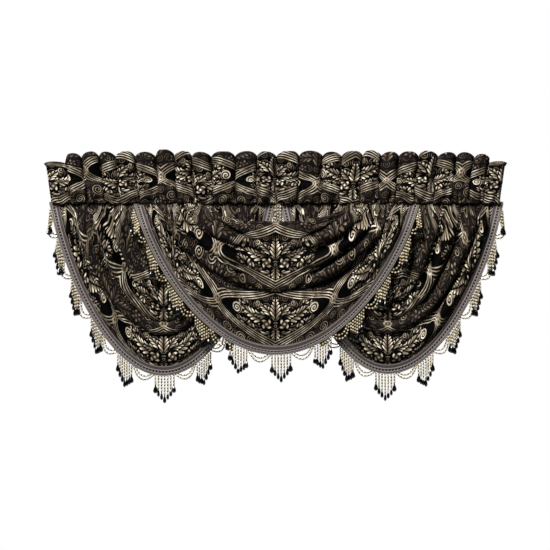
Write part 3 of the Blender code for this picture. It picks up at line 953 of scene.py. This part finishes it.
def frond_group():
    """An acanthus leaf on a bent rib: lobes lean forward on either side and are cut in to a depth."""
    tree, (place, length, reach, pitch, bend, cut, *_), end = new_group(
        "frond", ("Length", "Reach", "Pitch", "Bend", "Cut"))
    x, y, _ = add(tree, "SeparateXYZ", place).node.outputs
    bent = add(tree, "Math", y, y, operation="MULTIPLY")
    bent = add(tree, "Math", bent, bend, operation="MULTIPLY")
    aside = add(tree, "Math", x, bent, operation="SUBTRACT")
    aside = add(tree, "Math", aside, operation="ABSOLUTE")
    share = add(tree, "Math", y, length, operation="DIVIDE")
    share = add(tree, "Clamp", share)
    swell = add(tree, "Math", share, 0.62, operation="POWER")
    swell = add(tree, "Math", swell, math.pi, operation="MULTIPLY")
    swell = add(tree, "Math", swell, operation="SINE")
    wide = add(tree, "Math", swell, reach, 0.01, operation="MULTIPLY_ADD")
    outwards = add(tree, "Math", aside, wide, operation="DIVIDE")
    lean = add(tree, "Math", aside, -1.1, y, operation="MULTIPLY_ADD")
    lobe = add(tree, "Math", lean, pitch, operation="DIVIDE")
    lobe = add(tree, "Math", lobe, operation="FRACT")
    lobe = add(tree, "Math", lobe, 2.0, -1.0, operation="MULTIPLY_ADD")
    lobe = add(tree, "Math", lobe, lobe, operation="MULTIPLY")
    lobe = add(tree, "Math", lobe, cut, operation="MULTIPLY")
    square = add(tree, "Math", outwards, outwards, operation="MULTIPLY")
    inside = add(tree, "Math", 1.0, square, operation="SUBTRACT")
    inside = add(tree, "Math", inside, lobe, operation="SUBTRACT")
    rib = add(tree, "Math", aside, 0.7, -0.7, operation="MULTIPLY_ADD")
    rib = add(tree, "Clamp", rib)
    tone = add(tree, "Math", outwards, 0.75, 0.36, operation="MULTIPLY_ADD")
    tone = add(tree, "Math", tone, rib, operation="MULTIPLY")
    return close_group(tree, end, inside, tone, square)


def curl_group():
    """A leaf curled round its eye, with lobes that sweep round to its edge."""
    tree, (place, radius, lobes, swirl, *_), end = new_group("curl", ("Radius", "Lobes", "Swirl"))
    turn, away = about_its_eye(tree, place)
    turn = add(tree, "Math", turn, lobes, operation="MULTIPLY")
    turn = add(tree, "Math", away, swirl, turn, operation="MULTIPLY_ADD")
    gap = add(tree, "Math", turn, operation="COSINE")
    gap = add(tree, "Math", gap, -0.8, 0.8, operation="MULTIPLY_ADD")
    share = add(tree, "Math", away, radius, operation="DIVIDE")
    gap = add(tree, "Math", gap, share, operation="MULTIPLY")
    square = add(tree, "Math", share, share, operation="MULTIPLY")
    inside = add(tree, "Math", 1.0, square, operation="SUBTRACT")
    inside = add(tree, "Math", inside, gap, operation="SUBTRACT")
    rings = add(tree, "Math", share, 9.0, operation="MULTIPLY")
    rings = add(tree, "Math", rings, operation="COSINE")
    tone = add(tree, "Math", rings, 0.35, 0.65, operation="MULTIPLY_ADD")
    return close_group(tree, end, inside, tone, square)


def scroll_group():
    """A volute: a line wound round its eye."""
    tree, (place, radius, pitch, line, *_), end = new_group("scroll", ("Radius", "Pitch", "Line"))
    turn, away = about_its_eye(tree, place)
    turn = add(tree, "Math", turn, 2.0 * math.pi, operation="DIVIDE")
    wound = add(tree, "Math", away, pitch, operation="DIVIDE")
    wound = add(tree, "Math", wound, turn, operation="SUBTRACT")
    apart = off_middle(tree, wound)
    apart = add(tree, "Math", apart, pitch, operation="MULTIPLY")
    half = add(tree, "Math", line, 0.5, 0.3, operation="MULTIPLY_ADD")
    wire = add(tree, "Math", half, apart, operation="SUBTRACT")
    wire = add(tree, "Math", wire, 1.6, operation="MULTIPLY")
    wire = add(tree, "Clamp", wire)
    inside = add(tree, "Math", radius, away, operation="SUBTRACT")
    square = add(tree, "Math", away, radius, operation="DIVIDE")
    square = add(tree, "Math", square, square, operation="MULTIPLY")
    return close_group(tree, end, inside, wire, square)


def rosette_group():
    """A small round flower with six petals."""
    tree, (place, radius, *_), end = new_group("rosette", ("Radius",))
    turn, away = about_its_eye(tree, place)
    turn = add(tree, "Math", turn, 3.0, operation="MULTIPLY")
    petal = add(tree, "Math", turn, operation="COSINE")
    petal = add(tree, "Math", petal, operation="ABSOLUTE")
    petal = add(tree, "Math", petal, 0.35, 0.65, operation="MULTIPLY_ADD")
    share = add(tree, "Math", away, radius, operation="DIVIDE")
    edge = add(tree, "Math", petal, share, operation="SUBTRACT")
    rings = add(tree, "Math", share, 11.0, operation="MULTIPLY")
    rings = add(tree, "Math", rings, operation="COSINE")
    rings = add(tree, "Math", rings, 0.3, 0.7, operation="MULTIPLY_ADD")
    square = add(tree, "Math", share, share, operation="MULTIPLY")
    return close_group(tree, end, edge, rings, square)


def lay_motifs(tree, place, filling, *tables):
    """Lay the motifs of each table over the filling, with its group, on the mirrored half of an ogee."""
    laid = filling
    for rows, group in tables:
        leaf = group.name == "frond"
        for x, y, *rest, tone in rows:
            if leaf:
                turn, *sizes = rest
                frame_of = (x, y, 0.0), (0.0, 0.0, -math.radians(turn))
            else:
                *sizes, handed = rest
                frame_of = (x, y, 0.0), (0.0, 0.0, 0.0), (1.0, handed, 1.0)
            spot = add(tree, "Mapping", place, *frame_of, vector_type="TEXTURE")
            thread, clear = add(tree, "Group", spot, *sizes, node_tree=group).node.outputs
            laid = add(tree, "Math", laid, clear, operation="MULTIPLY")
            laid = add(tree, "Math", thread, tone, laid, operation="MULTIPLY_ADD")
    return laid


def mirrored_half(tree, place):
    """Mirror the left half of an ogee in its right one. Gives the place, its X and its Y."""
    x, y, _ = add(tree, "SeparateXYZ", place).node.outputs
    x = add(tree, "Math", x, operation="ABSOLUTE")
    return add(tree, "CombineXYZ", x, y), x, y


def repeated(tree, place, wide, tall):
    """Repeat a cell of that size over the cloth, and give each place from the middle of its cell."""
    half = (wide / 2.0, tall / 2.0, 1.0)
    return add(tree, "VectorMath", place, half, tuple(-v for v in half), operation="WRAP")


def small_scrolls(tree, place, scroll, sizes, tone):
    """Fill the cloth with small scrolls, one to a cell."""
    spot = repeated(tree, place, CURL_CELL, CURL_CELL)
    thread = add(tree, "Group", spot, *sizes, node_tree=scroll)
    return add(tree, "Math", thread, tone, operation="MULTIPLY")


def inside_ogee(tree, x, y):
    """How far inside the black ogee a place lies, in millimetres square to its stepped edge."""
    wide, tall = REPEAT
    round_edge = add(tree, "Math", y, 2.0 * math.pi / tall, operation="MULTIPLY")
    edge = add(tree, "Math", round_edge, operation="COSINE")
    edge = add(tree, "Math", edge, wide / 4.0, wide / 4.0, operation="MULTIPLY_ADD")
    upright = add(tree, "Math", y, operation="ABSOLUTE")
    step = add(tree, "MapRange", upright, *STEP_PLACE, 0.0, STEP_DEPTH, clamp=False)
    step = add(tree, "Clamp", step, 0.0, STEP_DEPTH)
    edge = add(tree, "Math", edge, step, operation="SUBTRACT")
    slope = add(tree, "Math", round_edge, operation="SINE")
    slope = add(tree, "Math", slope, math.pi * wide / (2.0 * tall), operation="MULTIPLY")
    slope = add(tree, "Math", slope, slope, 1.0, operation="MULTIPLY_ADD")
    slope = add(tree, "Math", slope, operation="SQRT")
    inside = add(tree, "Math", edge, x, operation="SUBTRACT")
    return add(tree, "Math", inside, slope, operation="DIVIDE")


def trellis_lines(tree, inside):
    """Four light lines along the trellis."""
    from_edge = add(tree, "Math", inside, operation="ABSOLUTE")
    in_ribbon = add(tree, "Math", RIBBON, from_edge, operation="SUBTRACT")
    in_ribbon = add(tree, "Clamp", in_ribbon)
    line = add(tree, "Math", inside, RIBBON_PITCH, operation="DIVIDE")
    line = off_middle(tree, line)
    line = add(tree, "Math", line, -RIBBON_PITCH, RIBBON_LINE / 2.0 + 0.3, operation="MULTIPLY_ADD")
    line = add(tree, "Math", line, 1.6, operation="MULTIPLY")
    line = add(tree, "Clamp", line)
    line = add(tree, "Math", line, in_ribbon, operation="MULTIPLY")
    return add(tree, "Math", line, LINE_TONE, operation="MULTIPLY")


def crossing_flowers(tree, x, y):
    """Rosettes where the trellis crosses, above and below an ogee and to its sides."""
    wide, tall = REPEAT
    rosette = rosette_group()
    upright = add(tree, "Math", y, operation="ABSOLUTE")
    low = add(tree, "Math", tall / 2.0, upright, operation="SUBTRACT")
    crossing = add(tree, "CombineXYZ", x, low)
    flower = add(tree, "Group", crossing, ROSETTE, node_tree=rosette)
    aside = add(tree, "Math", wide / 2.0, x, operation="SUBTRACT")
    crossing = add(tree, "CombineXYZ", aside, y)
    side_flower = add(tree, "Group", crossing, ROSETTE, node_tree=rosette)
    flower = add(tree, "Math", flower, side_flower, operation="MAXIMUM")
    return add(tree, "Math", flower, ROSETTE_TONE, operation="MULTIPLY")


def damask_figure(tree, place):
    """The whole figure, from 0 to 1, and where its ground is black."""
    frond, curled, scroll = frond_group(), curl_group(), scroll_group()
    wide, tall = REPEAT
    black = repeated(tree, place, wide, tall)
    dropped = add(tree, "VectorMath", place, (wide / 2.0, tall / 2.0, 1.0), operation="ADD")
    grey = repeated(tree, dropped, wide, tall)
    on_black, x, y = mirrored_half(tree, black)
    on_grey, _, _ = mirrored_half(tree, grey)
    inside = inside_ogee(tree, x, y)

    # Acanthus in the black ogees, with small scrolls in its gaps
    fill = small_scrolls(tree, on_black, scroll, SPRAY_SCROLL, SPRAY_TONE)
    middle = add(tree, "VectorMath", on_black, (*SPRAY_FILL, 1.0), operation="DIVIDE")
    middle = add(tree, "VectorMath", middle, operation="LENGTH").node.outputs["Value"]
    middle = add(tree, "Math", middle, -12.0, 12.0, operation="MULTIPLY_ADD")
    middle = add(tree, "Clamp", middle)
    fill = add(tree, "Math", fill, middle, operation="MULTIPLY")
    spray = lay_motifs(tree, on_black, fill, (ACANTHUS, frond), (ACANTHUS_CURLS, curled),
                       (ACANTHUS_SCROLLS, scroll))
    in_black = add(tree, "Math", inside, RIBBON, operation="SUBTRACT")
    in_black = add(tree, "Clamp", in_black)
    spray = add(tree, "Math", spray, in_black, operation="MULTIPLY")

    # Finer tracery in the charcoal ones
    fill = small_scrolls(tree, on_grey, scroll, GROUND_SCROLL, GROUND_TONE)
    tracery = lay_motifs(tree, on_grey, fill, (TRACERY, frond), (TRACERY_CURLS, curled),
                         (TRACERY_SCROLLS, scroll))
    in_grey = add(tree, "Math", inside, -1.0, -RIBBON, operation="MULTIPLY_ADD")
    in_grey = add(tree, "Clamp", in_grey)
    tracery = add(tree, "Math", tracery, in_grey, operation="MULTIPLY")

    figure = trellis_lines(tree, inside)
    for part in (spray, tracery, crossing_flowers(tree, x, y)):
        figure = add(tree, "Math", figure, part, operation="MAXIMUM")
    return figure, in_black


def damask_finish():
    """Jacquard damask in cotton and rayon, woven: dull dark ground, raised light figure with a sheen."""
    material, tree, shader = new_finish("jacquard_damask")
    cut = add(tree, "UVMap", uv_map="cut")
    place = add(tree, "VectorMath", cut, named={"Scale": 1.0 / MM}, operation="SCALE")
    figure, in_black = damask_figure(tree, place)

    # Uneven yarn: the figure's threads go from cream to bronze in patches
    patches = add(tree, "TexNoise", place, named={"Scale": 0.035, "Detail": 2.0})
    patches = add(tree, "MapRange", patches, 0.35, 0.65, 0.68, 1.12, clamp=False)
    toned = add(tree, "Math", figure, patches, operation="MULTIPLY")
    thread = add(tree, "ValToRGB", toned)
    set_stops(thread.node.color_ramp, FIGURE_COLOURS)
    charcoal, deep_black = map(linear, GROUND_COLOURS)
    ground = add(tree, "Mix", in_black, data_type="RGBA",
                 named={"A": charcoal, "B": deep_black}).node.outputs["Result"]
    shown = add(tree, "Math", figure, 6.0, -0.7, operation="MULTIPLY_ADD")
    shown = add(tree, "Clamp", shown)
    colour = add(tree, "Mix", shown, data_type="RGBA",
                 named={"A": ground, "B": thread}).node.outputs["Result"]
    tree.links.new(colour, shader.inputs["Base Color"])

    # The weave: the figure's long threads are smoother than the ground, and ribs run across both
    rough = add(tree, "Math", shown, -0.16, 0.66, operation="MULTIPLY_ADD")
    tree.links.new(rough, shader.inputs["Roughness"])
    ribs = add(tree, "TexWave", place, named={"Scale": 1.0 / RIB_PITCH / 3.2},
               wave_type="BANDS", bands_direction="X")
    bump = add(tree, "Bump", named={"Strength": 0.35, "Distance": 0.2 * MM, "Height": ribs})
    tree.links.new(bump, shader.inputs["Normal"])
    shader.inputs["Specular IOR Level"].default_value = 0.03   # the weave shades most of its own shine
    return material


def braid_finish():
    """Woven braid of mauve-grey rayon: light twisted cords, a ladder of dark squares, a flat edge."""
    material, tree, shader = new_finish("woven_rayon_braid")
    cut = add(tree, "UVMap", uv_map="cut")
    along, across, _ = add(tree, "SeparateXYZ", cut).node.outputs
    share = add(tree, "Math", across, BRAID_WIDTH * MM, operation="DIVIDE")
    yarn = add(tree, "ValToRGB", share)
    yarn.node.color_ramp.interpolation = "CONSTANT"
    set_stops(yarn.node.color_ramp, BRAID_BANDS)

    # Slanting gaps between the turns of the yarn: painted shade that darkens the cords between their
    # turns, and a hatching of the flat edge as its weave has it
    turn = add(tree, "Math", along, TWIST_PITCH * MM, operation="DIVIDE")
    turn = add(tree, "Math", share, TWIST_SLANT, turn, operation="MULTIPLY_ADD")
    turn = off_middle(tree, turn)
    shade = add(tree, "Math", turn, -1.3, 1.25, operation="MULTIPLY_ADD")

    # Dark squares of the ladder
    square = add(tree, "Math", along, DOT_PITCH * MM, operation="DIVIDE")
    square = off_middle(tree, square)
    square = add(tree, "Math", square, -14.0, 4.0, operation="MULTIPLY_ADD")
    square = add(tree, "Clamp", square)
    band = add(tree, "Math", share, sum(LADDER) / 2.0, operation="SUBTRACT")
    band = add(tree, "Math", band, operation="ABSOLUTE")
    band = add(tree, "Math", band, -40.0, 5.0, operation="MULTIPLY_ADD")
    band = add(tree, "Clamp", band)
    square = add(tree, "Math", square, band, operation="MULTIPLY")
    light = add(tree, "Math", 1.0, square, operation="SUBTRACT")
    # the painted shade of the gaps between the turns
    light = add(tree, "Math", light, shade, operation="MULTIPLY")
    worn = add(tree, "TexNoise", cut, named={"Scale": 60.0, "Detail": 2.0})
    worn = add(tree, "Math", worn, 0.5, 0.75, operation="MULTIPLY_ADD")
    light = add(tree, "Math", light, worn, operation="MULTIPLY")
    light = add(tree, "Math", light, 0.02, operation="ADD")
    colour = add(tree, "VectorMath", yarn, named={"Scale": light}, operation="SCALE")
    tree.links.new(colour, shader.inputs["Base Color"])
    shader.inputs["Roughness"].default_value = 0.8
    shader.inputs["Specular IOR Level"].default_value = 0.2
    return material


def thread_finish():
    """Spun polyester sewing thread, dark, twisted: dull, with fine light turns."""
    material, tree, shader = new_finish("spun_polyester_thread")
    place = add(tree, "TexCoord").node.outputs["Object"]
    turns = add(tree, "TexWave", place, named={"Scale": 400.0, "Distortion": 1.0},
                wave_type="BANDS", bands_direction="DIAGONAL")
    colour = add(tree, "Mix", turns, data_type="RGBA",
                 named={"A": linear("#0f0d0c"), "B": linear("#3a332d")}).node.outputs["Result"]
    tree.links.new(colour, shader.inputs["Base Color"])
    shader.inputs["Roughness"].default_value = 0.7
    return material


def glass_finish(name, colours, size, rough):
    """Pressed glass: its colour goes from one to the other in spots of a size, its polish is uneven."""
    material, tree, shader = new_finish(name)
    place = add(tree, "TexCoord").node.outputs["Object"]
    spots = add(tree, "TexNoise", place, named={"Scale": 1.0 / (size * MM), "Detail": 1.0})
    share = add(tree, "MapRange", spots, 0.35, 0.65, 0.0, 1.0)
    dark, light = map(linear, colours)
    colour = add(tree, "Mix", share, data_type="RGBA",
                 named={"A": dark, "B": light}).node.outputs["Result"]
    tree.links.new(colour, shader.inputs["Base Color"])
    polish = add(tree, "MapRange", spots, 0.3, 0.7, rough * 0.6, rough * 1.5)
    tree.links.new(polish, shader.inputs["Roughness"])
    shader.inputs["IOR"].default_value = 1.52
    return material


# Studio

FRAME_PIXELS = 550
PIXEL = 2.6774           # millimetres of the valance in one pixel of the photograph
VIEW_DISTANCE = 8.0
VIEW_FROM = (-0.0013, -VIEW_DISTANCE - 0.03, -0.332)   # straight on, at the photograph's middle
SENSOR = 36.0
FLOOR = -1.7             # metres below the top edge
LAMPS = (
    # name   from               strength
    ("key", (-1.0, -1.9, 1.8), 5.5),
    ("back", (0.6, 2.6, 1.5), 3.6),
)
LAMP_ANGLE = 26.0        # a wide source, for soft shadows
FILL = 0.055             # the white studio's light on the valance, as a share of the white it shows


def make_studio():
    """White studio: a long lens straight on, soft light from above in front and behind, a pale floor."""
    scene = bpy.context.scene
    scene.view_settings.view_transform = "Standard"
    scene.view_settings.look = "None"
    world = bpy.data.worlds.new("studio")
    scene.world = world
    world.use_nodes = True
    tree = world.node_tree
    tree.nodes["Background"].inputs["Color"].default_value = (1.0, 1.0, 1.0, 1.0)
    seen = tree.nodes.new("ShaderNodeLightPath").outputs["Is Camera Ray"]
    strength = add(tree, "MapRange", seen, 0.0, 1.0, FILL, 1.0)
    tree.links.new(strength, tree.nodes["Background"].inputs["Strength"])

    lens = bpy.data.cameras.new("camera")
    lens.sensor_width = SENSOR
    lens.lens = SENSOR * VIEW_DISTANCE / (FRAME_PIXELS * PIXEL * MM)
    lens.clip_end = 60.0
    camera = bpy.data.objects.new("camera", lens)
    scene.collection.objects.link(camera)
    camera.location = VIEW_FROM
    camera.rotation_euler = (math.pi / 2.0, 0.0, 0.0)
    scene.camera = camera

    for name, place, energy in LAMPS:
        light = bpy.data.lights.new(name, "SUN")
        light.angle = math.radians(LAMP_ANGLE)
        light.energy = energy
        lamp = bpy.data.objects.new(name, light)
        scene.collection.objects.link(lamp)
        lamp.location = place
        lamp.rotation_euler = lamp.location.to_track_quat("Z", "Y").to_euler()

    bm = bmesh.new()
    bmesh.ops.create_grid(bm, x_segments=1, y_segments=1, size=4.0)
    bmesh.ops.translate(bm, verts=bm.verts, vec=(0.0, 0.0, FLOOR))
    paper, _, shader = new_finish("studio_paper")
    shader.inputs["Base Color"].default_value = linear("#c4c4c0")
    shader.inputs["Roughness"].default_value = 0.9
    floor = put("floor", bm, paper, smooth_faces=False)
    floor.visible_diffuse = False    # its paper throws no light up into the folds


def main():
    """Make the finishes, the heading, each swag with its braid and fringe, and the studio."""
    finishes = {
        "damask": damask_finish(),
        "thread": thread_finish(),
        "braid": braid_finish(),
        "bead": glass_finish("champagne_glass_beads", ("#96835c", "#ddd0ae"), 7.0, 0.2),
        "seed": glass_finish("bronze_glass_seed_beads", ("#120d0a", "#33261a"), 5.0, 0.25),
        "jet": glass_finish("jet_glass_drops", ("#020203", "#0b0a0c"), 12.0, 0.08),
    }
    heading, stitches, flat, area = make_heading(finishes)
    for side in SWAGS:
        cloth, flat, area = make_swag(side, finishes["damask"])
        braid = make_braid(side, finishes["braid"])
        fringe = make_fringe(side, finishes)
    make_studio()


main()
